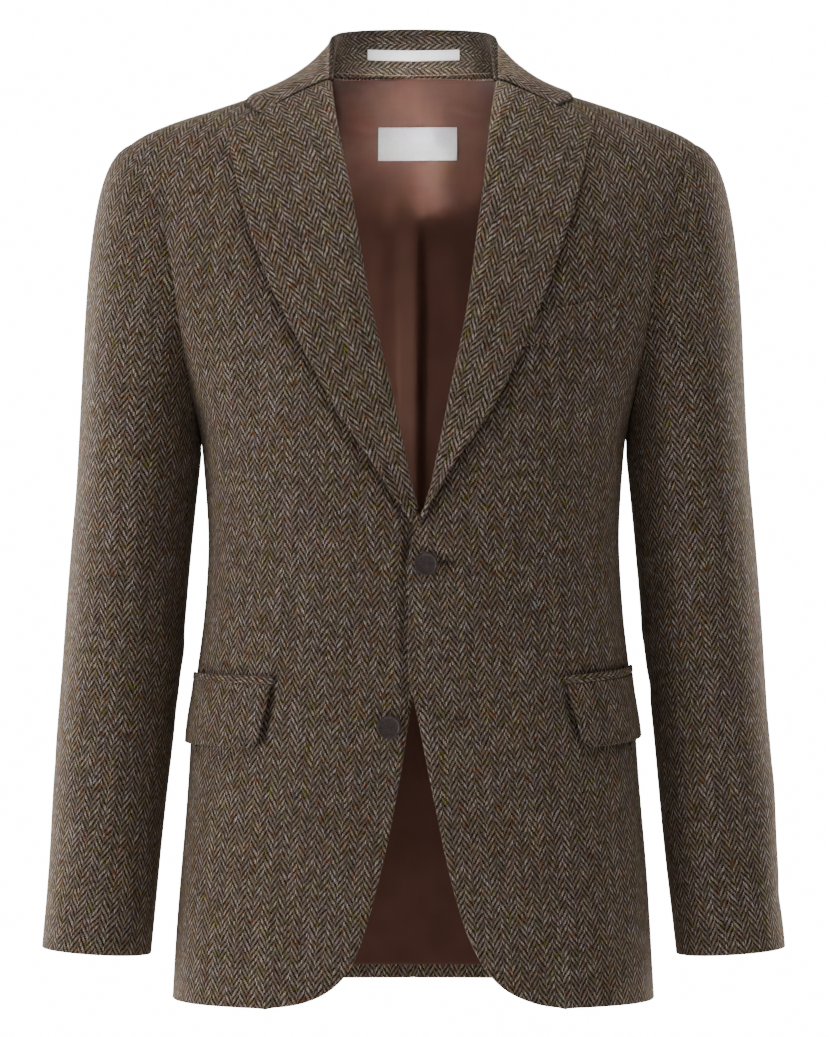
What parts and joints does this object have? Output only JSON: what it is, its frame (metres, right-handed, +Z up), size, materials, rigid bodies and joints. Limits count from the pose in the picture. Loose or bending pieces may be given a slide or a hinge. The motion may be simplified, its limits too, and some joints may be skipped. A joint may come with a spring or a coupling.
{
  "type": "tweed jacket",
  "caption": "Hip-length single-breasted tweed hacking jacket with notched lapels, flap pockets, a breast welt and a lined back, hollow and open as when worn.",
  "frame": {"origin": "between the shoulders on the garment's middle plane, at the height where the shoulder seams meet the collar", "axes": "+Z up along the body, -Y out of the front, +X towards the wearer's left"},
  "size_m": [0.6068, 0.2541, 0.7966],
  "materials": {
    "tweed": "rough woollen herringbone tweed in browns with coloured flecks",
    "lining": "smooth satin-faced lining in red-brown",
    "label": "woven pale grey label satin",
    "button": "matt dark brown with a soft sheen"
  },
  "bodies": {
    "root": {"front_right": "tweed", "front_left": "tweed", "side_right": "tweed", "side_left": "tweed", "back_right": "tweed", "back_left": "tweed", "top_sleeve_head_right": "tweed", "top_sleeve_head_left": "tweed", "top_sleeve_upper_right": "tweed", "top_sleeve_upper_left": "tweed", "top_sleeve_arm_right": "tweed", "top_sleeve_arm_left": "tweed", "top_sleeve_forearm_right": "tweed", "top_sleeve_forearm_left": "tweed", "under_sleeve_arm_right": "tweed", "under_sleeve_arm_left": "tweed", "under_sleeve_forearm_right": "tweed", "under_sleeve_forearm_left": "tweed", "collar": "tweed", "lapel_right": "tweed", "lapel_left": "tweed", "pocket_flap_right": "tweed", "pocket_flap_left": "tweed", "pocket_jetting_right": "tweed", "pocket_jetting_left": "tweed", "breast_welt": "tweed", "button_top": "button", "button_lower": "button", "back_lining": "lining", "neck_label": "label", "hanger_tape": "label"}
  },
  "joints": []
}
